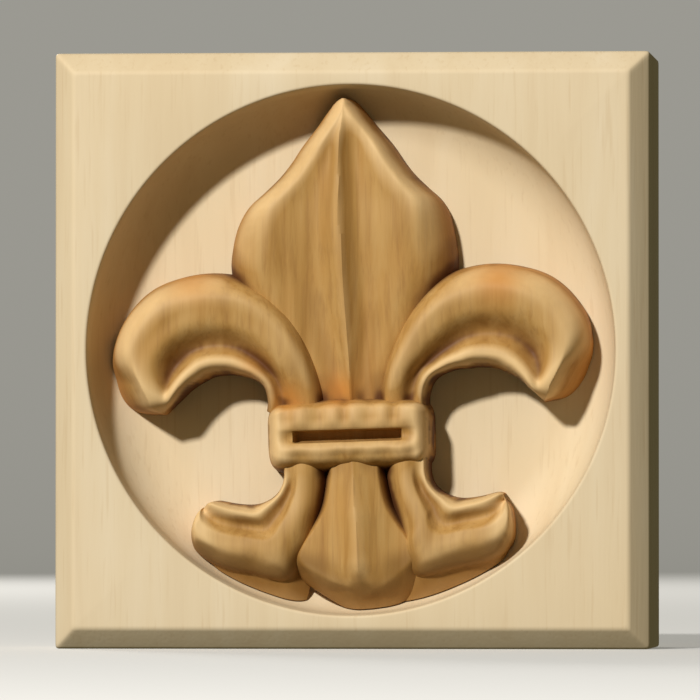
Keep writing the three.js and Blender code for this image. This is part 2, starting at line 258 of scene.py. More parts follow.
half_sides, depths = profile[:, 0], profile[:, 1]
loop_number = np.arange(len(profile))
is_circle = loop_number < len(floor_run) + len(cove_run) + len(rim_run)
on_back = loop_number >= len(profile) - BACK_LOOPS
square_corners = np.where(on_back, BACK_CORNER_SHARE * half_sides, CORNER_RADIUS)
corners = np.where(is_circle, half_sides, square_corners)
reach = rounded_square(half_sides[:, None], corners[:, None], turn[None, :])
loops = np.stack(
    [
        reach * np.cos(turn),
        np.broadcast_to(depths[:, None], reach.shape),
        MIDDLE_Z + reach * np.sin(turn),
    ],
    axis=-1,
)
middles = loops[[0, -1]].mean(1, keepdims=True)
first_point, last_point = (np.broadcast_to(middle, loops[:1].shape) for middle in (middles[:1], middles[1:]))
loops = np.concatenate([first_point, loops, last_point])
block = ring_mesh("maple_block", loops)
soften(block, BLOCK_CRISP_ANGLE)
print("block faces:", len(block.data.polygons))

# %% [markdown]
# ## The ornament's lobes
# The fleur-de-lis is seven lobes that run into one another: a petal, two arms, two scrolls, a tail
# and the collar that binds them. Each lobe is a height above the floor of the dish, worked out
# on a grid that follows the lobe, so its crests and channels run cleanly along it.
# The helper turns such a grid into a closed solid that reaches below the floor, where it is cut flat.

# %% A lobe from a grid of places and heights
BELOW_FLOOR = 2.0


def placed(x, w, h):
    """A point of the ornament in the block's frame, in mm: turned by the lean, shifted, and raised."""
    right = x * math.cos(LEAN) - w * math.sin(LEAN) + SHIFT_RIGHT
    up = x * math.sin(LEAN) + w * math.cos(LEAN) + SHIFT_UP
    return np.stack([right, FLOOR_Y - h, MIDDLE_Z + up], axis=-1)


def lobe(name, x, w, h):
    """A closed solid over a grid: each row is a section from edge to edge, then down and back below."""
    top = placed(x, w, np.maximum(h, 0))
    low = np.full(x[:, :1].shape, -BELOW_FLOOR)
    to_side = placed(x[:, -1:], w[:, -1:], low)
    from_side = placed(x[:, :1], w[:, :1], low)
    return ring_mesh(name, np.concatenate([top, to_side, from_side], axis=1))


def crowded(count):
    """Shares from 0 to 1 that crowd towards both ends, where the edges roll over."""
    return (1 - np.cos(np.linspace(0, math.pi, count))) / 2


print("lobe helper ready")

# %% [markdown]
# ### Petal and tail
# Both are leaves. A leaf has a rolled edge, a shallow valley on each side and a rib down its middle.
# The rib is a sharp fold two to three millimetres high, and its dark side is the first thing the eye
# finds. On the petal it wanders slightly to the left of the middle. The trims take off the little by
# which one side of the carving is narrower than the other. Each table runs up the leaf: place, value.

# %% Leaf sections
PETAL_HALF_WIDTH = [
    (-10, 7), (-3, 8.5), (4, 13), (10, 17.4), (13, 18.1), (16, 17.8), (19.5, 16.8), (22.3, 15.1),
    (24.4, 12.7), (26.5, 10.4), (28.6, 8.6), (31, 6.9), (34.2, 4.3), (36.4, 2.7), (37.6, 1.6), (38.2, 0),
]
PETAL_CREST = [(-10, 0.55), (-4, 0.68), (2, 0.79), (9, 0.9), (18, 1), (25, 0.99), (31, 0.93), (38.2, 0.78)]
PETAL = {
    "height": 9.4,
    "rib": 1.95,
    "valley": 1.3,
    "rib_reach": (5.0, 3.1),
    "rib_place": [(-10, -0.4), (2, -0.5), (10, -0.7), (20, -1.0), (30, -0.75), (38.2, 0)],
    "left_roll": [(-10, 2.6), (4, 4.2), (14, 6.0), (24, 4.8), (32, 3.4), (38.2, 2.4)],
    "right_roll": [(-10, 3), (4, 4.8), (10, 6.6), (18, 5.8), (24, 3.6), (28, 2.8), (38.2, 2.2)],
    "foot": [(-10, 0), (38.2, 0)],
    "roundness": (2.2, 1.8),
    "left_trim": [(-10, 0.6), (2, 0.4), (10, 0), (38.2, 0)],
    "right_trim": [(-10, 0), (2, 0.6), (8, 1.7), (13, 2.1), (18, 1.8), (24, 0.9), (30, 0.2), (38.2, 0)],
}
TAIL_HALF_WIDTH = [
    (-39.6, 0), (-38.8, 3.5), (-37.3, 6.4), (-35.3, 8.6), (-33, 10.1), (-30.8, 10.6),
    (-28.8, 9.9), (-26, 7.9), (-23, 6.1), (-19, 5.2), (-15, 5),
]
TAIL_CREST = [(-39.6, 0.6), (-38.6, 0.66), (-37.2, 0.8), (-35.6, 0.95), (-34, 1), (-20, 0.97), (-15, 0.9)]
TAIL = {
    "height": 7.7,
    "rib": 2.7,
    "valley": 0,
    "rib_reach": (6.5, 6.5),
    "rib_place": [(-39.6, 0.5), (-30, 0.2), (-15, -0.3)],
    "left_roll": [(-39.6, 8), (-37.3, 7), (-35.3, 5.8), (-33, 4), (-30.8, 2.2), (-28, 1.8), (-15, 1.6)],
    "right_roll": [(-39.6, 8), (-37.3, 7), (-35.3, 5.8), (-33, 4), (-30.8, 2.4), (-28, 2), (-15, 1.6)],
    "foot": [(-39.6, 4.4), (-36, 4.2), (-32, 2.4), (-29, 0), (-15, 0)],
    "roundness": (1.5, 1.5),
    "left_trim": [(-39.6, 3), (-37, 2.8), (-35, 1.8), (-33, 0.6), (-31, 0), (-15, 0)],
    "right_trim": [(-39.6, 0), (-15, 0)],
}


LEAF_RIB_POWER = 1.5
RIB_WANDERS_OVER = (1, 6)
RIB_FADES_OVER = (0.5, 7)
RIB_RISES_UP_FROM = (-37.5, -31)
VALLEY_FADES_OVER = (2, 9)
VALLEY_SPAN = (0.25, 1)
FLUTE_DEPTH, SWELL_DEPTH = 0.09, 0.12


def leaf_height(x, w, half_width, crest, leaf):
    """From the foot up a rolled edge to the crest, less a valley that eases out towards the edge, plus a
    rib that falls away to each side with the power 1.5, more steeply on the right. Rib and valley fade
    as the leaf narrows to its tip."""
    on_left = x < 0
    from_edge = half_width - np.abs(x)
    roll = np.where(on_left, smooth(leaf["left_roll"], w), smooth(leaf["right_roll"], w))
    reach = np.minimum(roll, 0.95 * half_width + 0.01)
    foot = np.maximum(smooth(leaf["foot"], w), 0)
    side = x - smooth(leaf["rib_place"], w) * ease(half_width, *RIB_WANDERS_OVER)
    rib_reach = np.where(side < 0, *leaf["rib_reach"])
    inner = np.maximum(half_width - roll, 0.01)
    valley = leaf["valley"] * ease(half_width, *VALLEY_FADES_OVER)
    valley = valley * (1 - ease(np.abs(side) / inner, *VALLEY_SPAN))
    beside = np.maximum(1 - np.abs(side) / rib_reach, 0)
    rib = leaf["rib"] * ease(half_width, *RIB_FADES_OVER) * beside**LEAF_RIB_POWER
    rib = rib * np.minimum(from_edge / reach, 1) * ease(w, *RIB_RISES_UP_FROM)
    rolled = edge_roll(from_edge, reach, np.where(on_left, *leaf["roundness"]))
    return foot + (crest - foot) * rolled - valley + rib


def leaf_lobe(name, stations, across, half_width, crest_line, leaf):
    """The leaf's grid: stations up its length, shares across its width, less a trim on each side. Faint
    flutes along the grain and a slow swell are added away from the edge."""
    up = stations[:, None]
    share = 2 * crowded(across)[None, :] - 1
    trim = np.where(share < 0, smooth(leaf["left_trim"], up), smooth(leaf["right_trim"], up))
    half_width = np.maximum(smooth(half_width, up) - trim, 0)
    x, w = share * half_width, np.broadcast_to(up, (len(stations), across))
    crest = leaf["height"] * smooth(crest_line, up)
    flutes = FLUTE_DEPTH * uneven(3.2 * x, 0.35 * w, 9.0) + SWELL_DEPTH * uneven(x, w, 21.0)
    h = leaf_height(x, w, half_width, crest, leaf) + flutes * ease(half_width - np.abs(x), 0.8, 3)
    return lobe(name, x, w, np.where(half_width > 0, h, 0))


PETAL_FOOT, PETAL_LENGTH = -10, 48.2
TAIL_ROOT, TAIL_LENGTH = -15, 24.6
petal_stations = PETAL_FOOT + PETAL_LENGTH * np.linspace(0, 1, 150) ** 0.85
tail_stations = TAIL_ROOT - TAIL_LENGTH * np.linspace(0, 1, 90) ** 0.9
petal = leaf_lobe("petal", petal_stations, 110, PETAL_HALF_WIDTH, PETAL_CREST, PETAL)
tail = leaf_lobe("tail", tail_stations, 76, TAIL_HALF_WIDTH, TAIL_CREST, TAIL)
print("petal faces:", len(petal.data.polygons), "tail faces:", len(tail.data.polygons))

# %% [markdown]
# ### Arms
# An arm turns about the middle of its hollow, so it is easiest in polar form: the outer and the inner
# edge are radii against the angle. Across the arm the wood climbs the outer wall to a broad crest,
# drops into a narrow channel and rises again to a lower lip. The channel leans towards the lip, on the
# left arm more than on the right. Towards the end the crest crosses over to the inner side and the
# channel fades, which is what makes the arm look curled. Each table runs round the arm in degrees.

# %% Arm sections
ARM_HEIGHT = 10.2
ARM_CENTRE = (19.5, -6)
ARM_OUTER = [
    (-14, 9.6), (-8, 13.4), (0, 15.8), (12, 17.4), (24, 18.3), (40, 19.1), (57, 19.5), (72, 19.1),
    (90, 18.6), (109, 17.9), (128, 16.7), (149, 15.6), (167, 15.5), (184, 16.1), (200, 16.6),
]
ARM_INNER = [
    (-14, 9.2), (-8, 7.8), (0, 6.5), (12, 5.4), (24, 4.6), (40, 3.9), (57, 3.6), (72, 3.4),
    (90, 3.3), (109, 3.5), (128, 3.9), (149, 4.9), (167, 5.9), (184, 6.3), (200, 6.5),
]
ARM_CREST_PLACE = [
    (-14, 0.55), (0, 0.52), (10, 0.44), (20, 0.34), (30, 0.28), (42, 0.26), (70, 0.27), (150, 0.3),
    (200, 0.3),
]
ARM_LIP_PLACE = 0.87
ARM_ROOT, ARM_TURN = 200, 214
ARM_TRIM = {
    -1: [(-14, 0), (140, 0), (170, 0.2), (200, 0.5)],
    1: [(-14, 0.6), (-8, 1.5), (0, 1.8), (12, 1.1), (24, 0.4), (36, 0), (200, 0)],
}
ARM_INNER_TRIM = {
    -1: [(-14, 0), (200, 0)],
    1: [(-14, 0), (120, 0), (149, 0.7), (167, 1.6), (184, 2.1), (200, 2.4)],
}
ARM_CHANNEL = [
    (-14, 0), (-2, 0.1), (10, 1.1), (22, 2.2), (35, 3.1), (60, 2.5), (150, 2.0), (180, 1.1), (200, 0.6),
]
ARM_CHANNEL_LEAN = {-1: 2.1, 1: 1.6}
ARM_CHANNEL_SHARPNESS = 2.8
ARM_WALL_POWER = 0.85
ARM_CROSSING = (0.45, 0.28)
STROKE_DEPTH, RIPPLE_DEPTH = 0.1, 0.14
ARM_LIP_DROP = [(-14, 0.4), (0, 0.3), (14, 0.5), (30, 0.7), (60, 0.9), (120, 0.9), (200, 0.8)]
ARM_CREST = [(-14, 0.45), (-8, 0.82), (0, 0.96), (20, 1), (120, 1), (150, 0.97), (175, 0.86), (200, 0.72)]


def arm_height(s, angle, side):
    """Outer wall to the crest, then an eased run down to the lip less a channel shaped like a sine hump
    raised to a power, then the rolled inner edge. s is the share of the width from the outer edge. The
    outer wall is rolled, and turns into a plain slope where the crest has crossed to the inner side."""
    crest_place = smooth(ARM_CREST_PLACE, angle)
    crest = ARM_HEIGHT * smooth(ARM_CREST, angle)
    lip = crest - smooth(ARM_LIP_DROP, angle)
    up = np.clip(s / crest_place, 0, 1)
    rolled, sloped = edge_roll(s, crest_place), up**ARM_WALL_POWER
    outer = crest * (sloped + (rolled - sloped) * ease(crest_place, *ARM_CROSSING))
    t = np.clip((s - crest_place) / (ARM_LIP_PLACE - crest_place), 0, 1)
    hump = np.sin(math.pi * t ** ARM_CHANNEL_LEAN[side])
    channel = smooth(ARM_CHANNEL, angle) * hump**ARM_CHANNEL_SHARPNESS
    middle = crest + (lip - crest) * ease(t, 0, 1) - channel
    inner = lip * edge_roll(1 - s, 1 - ARM_LIP_PLACE)
    return np.where(s <= crest_place, outer, np.where(s >= ARM_LIP_PLACE, inner, middle))


def arm_lobe(name, side):
    """The arm's grid: angles from the root to the curled end, shares across, with the strokes of the
    gouge along the arm and a slow ripple added away from the edges."""
    angle = (ARM_ROOT - ARM_TURN * np.linspace(0, 1, 190) ** 0.92)[:, None]
    s = crowded(84)[None, :]
    outer = smooth(ARM_OUTER, angle) - smooth(ARM_TRIM[side], angle)
    inner = smooth(ARM_INNER, angle) + smooth(ARM_INNER_TRIM[side], angle)
    radius = outer + (inner - outer) * s
    x = side * (ARM_CENTRE[0] + radius * np.cos(np.radians(angle)))
    w = ARM_CENTRE[1] + radius * np.sin(np.radians(angle))
    strokes = STROKE_DEPTH * uneven(radius * 2.4, 0.12 * angle + 3 * side, 9.0)
    strokes = strokes + RIPPLE_DEPTH * uneven(x, w, 13.0)
    inside = np.minimum(s, 1 - s) * (outer - inner)
    return lobe(name, x, w, arm_height(s, angle, side) + strokes * ease(inside, 0.6, 2.5))


arms = [arm_lobe("arm_left", -1), arm_lobe("arm_right", 1)]
print("arm faces:", [len(arm.data.polygons) for arm in arms])

# %% [markdown]
# ### Scrolls
# The two lower scrolls leave the collar side by side with the tail and curl outwards. Each has a
# lower edge and an upper edge, point by point, with the crest about half way between them and a small
# hollow above it. Below the crest a skirt runs down to the wall of the dish. The right scroll is trimmed
# at its end, and its skirt is carried in under the tail. Each table runs along the scroll by the number
# of the point.

# %% Scroll sections
SCROLL_HEIGHT = 9.6
SCROLL_LOWER = [
    (3.6, -15.5), (4, -19.4), (4.6, -22.9), (5.6, -26.3), (7, -31.4), (9.2, -38),
    (16.2, -35.6), (21, -33), (24.2, -30), (25.2, -26.9), (24.4, -24), (22.6, -22.2),
]
SCROLL_UPPER = [
    (11, -15.5), (11, -18.4), (11.6, -20), (12.7, -21.1), (14.1, -21.8), (15.4, -22.1),
    (16.9, -22.1), (18.5, -21.9), (19.9, -21.6), (21, -21.4), (21.9, -21.6), (22.6, -22.2),
]
SCROLL_END = 11
SCROLL_CREST_PLACE = [
    (0, 0.55), (2, 0.52), (3.4, 0.48), (4.2, 0.5), (5, 0.56), (6, 0.53), (7, 0.45), (8, 0.38), (9, 0.32),
    (11, 0.34),
]
SCROLL_RIGHT_TRIM = [
    (0, 0), (3.4, 0), (4.2, 2.4), (5, 3), (5.8, 1.4), (7, 0), (8, 1.2), (9, 1.8), (10, 1.4), (11, 0.8),
]
SCROLL_SKIRT = [(0, 0), (3.4, 0), (4.3, 4.2), (5, 5.8), (7, 5.6), (7.8, 3.2), (8.6, 0), (11, 0)]
SCROLL_SKIRT_TOP = 6.6
SCROLL_SKIRT_REACH = [(0, 0.42), (3.6, 0.46), (4.4, 0.56), (5.2, 0.56), (6.2, 0.46), (7.2, 0.4), (11, 0.4)]
SCROLL_SKIRT_FALL = 2.2
SCROLL_LIP_PLACE = 0.9
SCROLL_HOLLOW = 1.25
SCROLL_HOLLOW_FALL, SCROLL_HOLLOW_RISE = (0.28, 0.56), (0.6, 1)
SCROLL_HOLLOW_STARTS = (0.3, 2)
SCROLL_ROUNDNESS, SCROLL_SKIRT_FLATNESS = 2.1, 0.55
SCROLL_LIP_DROP = 0.7
SCROLL_CREST = [(0, 0.92), (2, 0.93), (6, 1), (9, 1), (10, 0.9), (10.6, 0.75), (11, 0.5)]


def path(points, t):
    """Two smooth curves of the point's number, one for each coordinate."""
    return [smooth(list(enumerate(axis)), t) for axis in zip(*points)]


def scroll_height(s, t):
    """Skirt, rolled wall up to the crest, a hollow that eases down and up again, and the low upper
    edge. s is the share of the width from the lower edge, t the number of the point."""
    crest = SCROLL_HEIGHT * smooth(SCROLL_CREST, t)
    place = smooth(SCROLL_CREST_PLACE, t)
    skirt = np.maximum(smooth(SCROLL_SKIRT, t), 0)
    skirted = skirt / SCROLL_SKIRT_TOP
    start = smooth(SCROLL_SKIRT_REACH, t) * place * skirted
    fall = SCROLL_SKIRT_FALL * skirted * np.maximum(1 - s / np.maximum(start, 0.01), 0)
    roundness = SCROLL_ROUNDNESS - SCROLL_SKIRT_FLATNESS * skirted
    outer = skirt - fall + (crest - skirt) * edge_roll(s - start, place - start, roundness)
    upper = crest - SCROLL_LIP_DROP
    along = np.clip((s - place) / (SCROLL_LIP_PLACE - place), 0, 1)
    hollow = SCROLL_HOLLOW * ease(along, *SCROLL_HOLLOW_FALL) * (1 - ease(along, *SCROLL_HOLLOW_RISE))
    hollow = hollow * ease(t, *SCROLL_HOLLOW_STARTS)
    middle = crest + (upper - crest) * ease(along, 0, 1) - hollow
    inner = upper * edge_roll(1 - s, 1 - SCROLL_LIP_PLACE)
    h = np.where(s <= place, outer, np.where(s >= SCROLL_LIP_PLACE, inner, middle))
    return np.where(t >= SCROLL_END, 0, h)


def scroll_lobe(name, side):
    """The scroll's grid: stations from the collar to the curled end, shares from the lower edge up."""
    t = np.linspace(0, SCROLL_END, 150)[:, None]
    s = crowded(64)[None, :]
    (x0, w0), (x1, w1) = path(SCROLL_LOWER, t), path(SCROLL_UPPER, t)
    if side > 0:
        trim = smooth(SCROLL_RIGHT_TRIM, t)
        x0, x1 = x0 - trim, x1 - trim * ease(t, SCROLL_END - 1, SCROLL_END)
    x, w = side * (x0 + (x1 - x0) * s), w0 + (w1 - w0) * s
    width = np.hypot(x1 - x0, w1 - w0)
    strokes = RIPPLE_DEPTH * uneven(x * 1.6, w * 1.6, 9.0)
    inside = np.minimum(s, 1 - s) * width
    return lobe(name, x, w, scroll_height(s, t) + strokes * ease(inside, 0.6, 2.2))


scrolls = [scroll_lobe("scroll_left", -1), scroll_lobe("scroll_right", 1)]
print("scroll faces:", [len(scroll.data.polygons) for scroll in scrolls])

# %% [markdown]
# ### Collar
# The collar binds everything together. It is a bar with rounded corners and two rolls, read across it
# from a table of heights, and a slot is cut along the dip between them. The carver nicked the rolls here
# and there, and those nicks catch the light, so a few shallow dents are cut at set places.

# %% Collar section
COLLAR_HALF_LENGTH = 12.5
COLLAR_RIGHT = -0.8
COLLAR_HALF_WIDTH = 5.8
COLLAR_UP = -12.4
COLLAR_ROLL = 2.6
COLLAR_UPPER_ROLL = 1.8
COLLAR_END_HEIGHT = 10.0
COLLAR_ENDS_OVER = (1.2, 4.6)
COLLAR_CORNER_POWER = 5
COLLAR_PROFILE = [
    (-5.8, 8.2), (-4.2, 9.4), (-3, 10.0), (-2, 10.3), (-1.2, 9.9), (-0.6, 9.4), (0, 9.2),
    (0.6, 9.4), (1.3, 10.0), (2.2, 10.4), (3.2, 10.4), (4.3, 10.1), (5.8, 9.4),
]
SLOT_HALF_LENGTH, SLOT_HALF_WIDTH, SLOT_DEPTH = 8.0, 0.85, 2.3
UPPER_DENTS = [(-9, 1.3), (-4.4, 1.5), (-0.4, 0.9), (3.4, 1.6), (7, 1.1)]
LOWER_DENTS = [(-7.2, 1.4), (-1.2, 1.3), (1.6, 1.2), (5.2, 1.7), (9.6, 1.1)]
UPPER_DENT_DEPTH, LOWER_DENT_DEPTH = 0.65, 0.45
ROLL_SHARE, SLOT_SHARE = 0.42, 0.16


def dents_along(x, dents, depth):
    """Bell curves added up along a roll, one for each dent, which is given by its place and width."""
    return [depth * np.exp(-(((x - at) / wide) ** 2)) for at, wide in dents]


def collar_lobe(name):
    """Two rolls with a dip between them; the slot is a steep-sided trough, and each dent is a bell
    curve along the roll it is cut in. The rows crowd at the edges and lie close across the slot."""
    on_roll = crowded(60) * ROLL_SHARE
    across_slot = ROLL_SHARE + SLOT_SHARE * np.linspace(0, 1, 42)[1:-1]
    shares = np.unique(np.clip(np.concatenate([on_roll, across_slot, 1 - on_roll[::-1]]), 0, 1))
    x = (COLLAR_HALF_LENGTH * (2 * crowded(170) - 1))[:, None]
    from_end = np.minimum(np.abs(x / COLLAR_HALF_LENGTH), 1) ** COLLAR_CORNER_POWER
    half_width = COLLAR_HALF_WIDTH * (1 - from_end) ** (1 / COLLAR_CORNER_POWER)
    off = (2 * shares[None, :] - 1) * half_width
    from_side = half_width - np.abs(off)
    to_end = COLLAR_HALF_LENGTH - np.abs(x)
    side_reach = np.minimum(np.where(off > 0, COLLAR_UPPER_ROLL, COLLAR_ROLL), half_width)
    roll = edge_roll(from_side, side_reach) * edge_roll(to_end, COLLAR_ROLL)
    above_end = smooth(COLLAR_PROFILE, off) - COLLAR_END_HEIGHT
    top = COLLAR_END_HEIGHT + above_end * ease(to_end, *COLLAR_ENDS_OVER)
    upper = sum(dents_along(x, UPPER_DENTS, UPPER_DENT_DEPTH)) * ease(off, 0.8, 2.8)
    lower = sum(dents_along(x, LOWER_DENTS, LOWER_DENT_DEPTH)) * ease(-off, 1.2, 3.0)
    h = (top - upper - lower) * roll
    slot = ease(SLOT_HALF_WIDTH + 0.12 - np.abs(off), 0, 0.3)
    slot = slot * ease(SLOT_HALF_LENGTH + 0.15 - np.abs(x), 0, 0.4)
    x, w = np.broadcast_arrays(x + COLLAR_RIGHT, COLLAR_UP + off)
    return lobe(name, x, w, h - SLOT_DEPTH * slot * (to_end > 3))


collar = collar_lobe("collar")
print("collar faces:", len(collar.data.polygons))

# %% [markdown]
# ## Joining the lobes
# The lobes overlap, as a carver's forms do before they are blended. A Boolean union makes them one
# solid, and the lines where they meet become the sharp dark creases of the carving. The union is then
# kept only where it lies inside the dish, a hair smaller than the real one, which cuts the back flat
# on the dish floor and fits the lower edge to the turned wall.

# %% One carved solid, fitted to the dish
PAST_FACE = 5
ORNAMENT_CRISP_ANGLE = 38


def dish_room(gap):
    """The space inside the dish as a turned solid: circles up the cove and the wall, less the gap, and
    on out past the face."""
    cove = arc((cove_start - gap, FLOOR_Y - COVE_RADIUS), COVE_RADIUS, 90, 0, 24)
    radius, outside = RIM_RADIUS - gap, FACE_Y - PAST_FACE
    outer = np.array([(radius, FACE_Y), (radius + 0.5, outside), (0, outside)])
    outline = np.vstack([[(0, FLOOR_Y)], cove, outer])
    around = np.radians(np.linspace(0, 360, 384, endpoint=False))[None, :]
    radius, y = outline[:, :1], outline[:, 1:]
    rings = np.stack([radius * np.cos(around), y + 0 * around, MIDDLE_Z + radius * np.sin(around)], axis=-1)
    return ring_mesh("dish_room", rings)


def combined(name, base, others, operation):
    """The base joined or trimmed by the others, as a new mesh with no modifiers left on it."""
    for other in others:
        modifier = base.modifiers.new(other.name, "BOOLEAN")
        modifier.operation = operation
        modifier.solver = "MANIFOLD"
        modifier.object = other
    evaluated = base.evaluated_get(bpy.context.evaluated_depsgraph_get())
    result = bpy.data.objects.new(name, bpy.data.meshes.new_from_object(evaluated))
    result.data.materials.clear()
    bpy.context.scene.collection.objects.link(result)
    for used in [base, *others]:
        bpy.data.objects.remove(used)
    return result


united = combined("united_lobes", petal, [tail, *arms, *scrolls, collar], "UNION")
ornament = combined("carved_fleur_de_lis", united, [dish_room(FIT_GAP)], "INTERSECT")
soften(ornament, ORNAMENT_CRISP_ANGLE)
print("ornament faces:", len(ornament.data.polygons))

# %% [markdown]
# ## Where the toning and the painted light lie
# The honey toning stays a little darker in the hollows. On top of it, shade is painted into the hollows
# and the creases, and the crests are painted pale, as wear and as a highlight.
# That can be worked out from the shape itself. The heights are laid on a square grid of small cells.
# A vertex that lies lower than the wood on two opposite sides of it is in a hollow, and one that stands
# above the blurred height stands proud. The numbers are evened out along the mesh's edges, so that the
# cells don't show, and stored on the vertices for the material to read.

# %% Heights of the ornament on a grid
CELL = 0.4
GRID = int(SIDE / CELL)


def blurred(heights, radius):
    """Three passes of a moving average along both axes, which is close to a bell-shaped blur. An average
    is the difference of two running totals over the number of cells between them."""
    window = 2 * radius + 1
    for _ in range(3):
        for axis in (0, 1):
            margins = [(radius + 1, radius) if a == axis else (0, 0) for a in (0, 1)]
            total = np.cumsum(np.pad(heights, margins, mode="edge"), axis=axis)
            ahead = np.take(total, range(window, total.shape[axis]), axis=axis)
            behind = np.take(total, range(0, total.shape[axis] - window), axis=axis)
            heights = (ahead - behind) / window
    return heights


def number_on(piece, name, values):
    """Stores one number per vertex under a name."""
    attribute = piece.data.attributes.new(name, "FLOAT", "POINT")
    attribute.data.foreach_set("value", np.asarray(values, np.float32))


places = points_of(ornament.data)
height = FLOOR_Y - places[:, 1]
column = np.clip(((places[:, 0] + half) / CELL).astype(int), 0, GRID - 1)
row = np.clip((places[:, 2] / CELL).astype(int), 0, GRID - 1)
relief = np.zeros((GRID, GRID))
np.maximum.at(relief, (row, column), height)
beside = np.max([np.roll(relief, step, axis) for step in (-1, 1) for axis in (0, 1)], axis=0)
relief = np.where(relief == 0, beside, relief)
print("cells that hold wood:", int((relief > 0).sum()))

# %% [markdown]
# The reach of the measure decides what it finds: a reach of three cells finds the creases, and longer
# ones find the channels and the room between two lobes. `between` looks four ways and keeps the
# deepest answer.

# %% Hollows, crests and creases
FOUR_WAYS = ((1, 0), (0, 1), (1, 1), (1, -1))
LEAST_DEPTH = -9.0


def relief_at(rows, columns):
    """The heights at some cells, where a cell past the edge of the grid counts as the one on the edge."""
    return relief[np.clip(rows, 0, GRID - 1), np.clip(columns, 0, GRID - 1)]


def between(reach):
    """How deep each vertex lies between higher wood on two opposite sides: the lower of the two heights a
    reach away, less its own height, for the deepest of four directions."""
    depth = np.full(len(height), LEAST_DEPTH)
    for along, upward in FOUR_WAYS:
        ahead = relief_at(row + upward * reach, column + along * reach)
        behind = relief_at(row - upward * reach, column - along * reach)
        depth = np.maximum(depth, np.minimum(ahead, behind) - height)
    return depth


edges = np.empty(len(ornament.data.edges) * 2, np.int32)
ornament.data.edges.foreach_get("vertices", edges)
edges = edges.reshape(-1, 2)
both_ways = np.vstack([edges, edges[:, ::-1]])
neighbours = np.bincount(both_ways[:, 0], minlength=len(places))


def spread(values, passes):
    """Values evened out over the mesh: at each pass a vertex takes the mean of itself and the mean of
    its neighbours along the edges."""
    for _ in range(passes):
        total = np.bincount(both_ways[:, 0], values[both_ways[:, 1]], len(places))
        values = (values + total / np.maximum(neighbours, 1)) / 2
    return values


HOLLOW_REACHES = {4: 0.55, 7: 0.4, 11: 0.25}
DEEPEST_HOLLOW = 2
HIGHEST_CREST = 1.5
CREASE_GAIN, CREASE_LOSS, DARKEST_CREASE = 1.2, 0.8, 0.9

across, up = places[:, 0], places[:, 2] - MIDDLE_Z
from_middle = np.hypot(across, up)
deepest = np.maximum.reduce([share * between(reach) for reach, share in HOLLOW_REACHES.items()])
hollow = spread(np.clip(deepest, 0, DEEPEST_HOLLOW), 8)
surroundings = 0.5 * blurred(relief, 2)[row, column] + 0.5 * blurred(relief, 5)[row, column]
proud = spread(height - surroundings, 6)
# Creases between the lobes, which the material paints dark as shade.
crease = spread(np.clip(CREASE_GAIN * between(3) - CREASE_LOSS, 0, DARKEST_CREASE), 5)
print("share of vertices in a hollow:", round(float((hollow > 0.3).mean()), 2))

# %% [markdown]
# Three places are treated apart. Low down, among the tail and the scrolls, less shade is painted
# into the hollows. The slot of the collar is dark from its own shade, so the hollow toning and the
# painted shade are mostly left out there. The skirts, which fall away towards the rim and partly face
# down, away from the lamp, get an even painted shade: they are found by their place and by the way
# they face. A few warm scorch marks are laid at listed places, each as a soft round spot.

# %% Numbers for the toning, stored on the vertices
SCORCHED = [
    (-2.2, -6, 2.4, 0.9), (-9.6, -7, 2.2, 0.8), (-14.5, -2.5, 2.4, 0.4), (22, 10.5, 3.4, 0.7),
    (-24, 10.5, 3.5, 0.5),
]
# How much less shade is painted into the hollows low down, among the tail and the scrolls.
LESS_HOLLOW_SHADE_LOW_DOWN = 0.6
HOLLOW_SPARED_IN_SLOT, CREASE_SPARED_IN_SLOT = 0.8, 0.7

low_down = ease(-up, 17, 20)
in_slot = (np.abs(across) < SLOT_HALF_LENGTH + 2) & (np.abs(up - COLLAR_UP) < 1.8)
near_rim = ease(from_middle, 30, 33) * (up < -20)
facing = np.empty(len(places) * 3, np.float32)
ornament.data.vertex_normals.foreach_get("vector", facing)
faces_down = -facing.reshape(-1, 3)[:, 2]
# The skirts get a painted shade: they lie low near the rim, and those that face down are turned away from
# the lamp.
skirt = ease(from_middle, 29.5, 32.5) * ease(-up, 25, 29) * (1 - ease(height, 7.6, 9.2))
skirt = np.maximum(skirt, ease(faces_down, 0.3, 0.6) * ease(-up, 22, 27))
spots = [depth * np.exp(-((across - x) ** 2 + (up - w) ** 2) / wide**2) for x, w, wide, depth in SCORCHED]

spared = (1 - LESS_HOLLOW_SHADE_LOW_DOWN * low_down) * (1 - HOLLOW_SPARED_IN_SLOT * in_slot)
# The hollow, crease and skirt numbers carry painted shade; the crest number carries wear and a painted
# highlight.
number_on(ornament, "hollow", hollow / DEEPEST_HOLLOW * spared)
number_on(ornament, "crest", np.clip(proud, 0, HIGHEST_CREST) / HIGHEST_CREST)
number_on(ornament, "height", height / DISH_DEPTH)
number_on(ornament, "crease", crease * (1 - near_rim) * (1 - CREASE_SPARED_IN_SLOT * in_slot))
number_on(ornament, "skirt", skirt)
number_on(ornament, "scorch", sum(spots))
print("share of vertices on a skirt:", round(float((skirt > 0.5).mean()), 2))

# %% [markdown]
# ## Toned wood
# The carving's colour runs from a pale tan on the crests, wear with a painted highlight, through honey,
# to the dark brown of toning and painted shade in the hollows and the dark red brown of painted shade
# in the creases. The grain stands upright: noise stretched along Z gives soft streaks, and finer noise
# gives the pores. Wood near the floor of the dish is painted a deeper orange brown as shade at the foot
# of the walls, and the scorched spots are orange.
#
# Colours are written as they look on a screen, from 0 to 255. A shader wants light instead, so each is
# turned into its linear value: a plain share near black, and above that a power of 2.4.

# %% Node helpers
def colour(r, g, b):
    """An 8-bit screen colour as the linear colour that a shader wants."""
    seen = np.array([r, g, b])
    near_black, brighter = seen / 3294.6, ((seen / 255 + 0.055) / 1.055) ** 2.4
    return tuple(np.where(seen <= 10, near_black, brighter)) + (1.0,)


